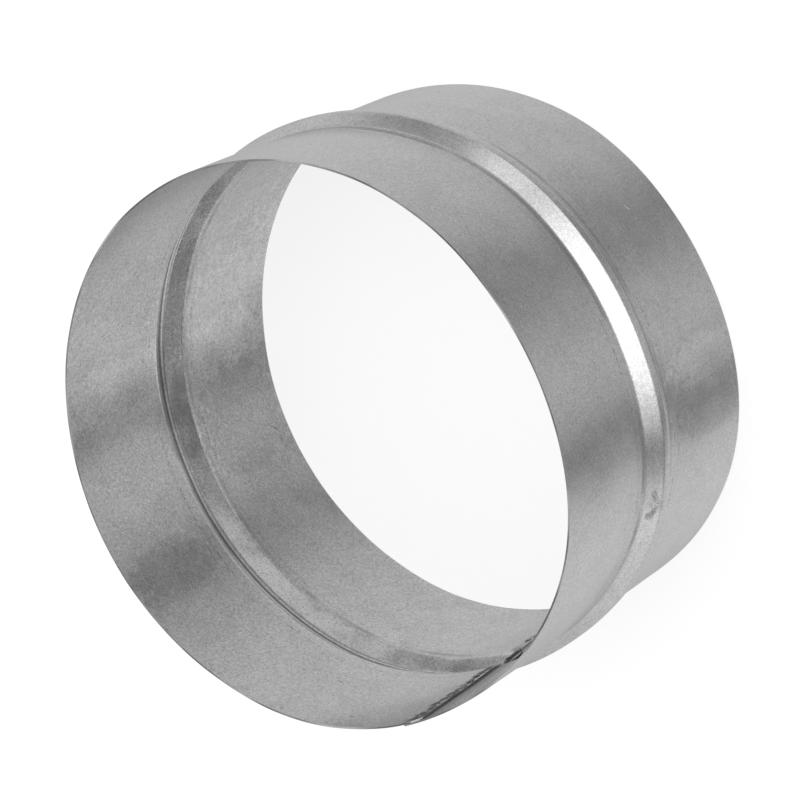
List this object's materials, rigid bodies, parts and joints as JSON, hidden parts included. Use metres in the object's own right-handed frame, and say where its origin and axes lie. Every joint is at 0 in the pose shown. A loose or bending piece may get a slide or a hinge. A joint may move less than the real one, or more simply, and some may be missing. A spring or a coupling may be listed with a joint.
{
  "type": "duct connector",
  "caption": "Round sheet-steel duct connector: a short rolled sleeve with a raised stop bead round its middle and a lapped, stitch-welded seam, joining two round ducts end to end.",
  "frame": {"origin": "centre of the lower rim, on the surface the sleeve stands on", "axes": "+Z along the sleeve's axis, up to its other rim; the lap seam is on the -Y side"},
  "size_m": [0.155, 0.1552, 0.09],
  "materials": {
    "galvanised_sheet": "satin zinc coating, dull grey, with a fine even grain"
  },
  "bodies": {
    "root": {"connector_sleeve": "galvanised_sheet"}
  },
  "joints": []
}
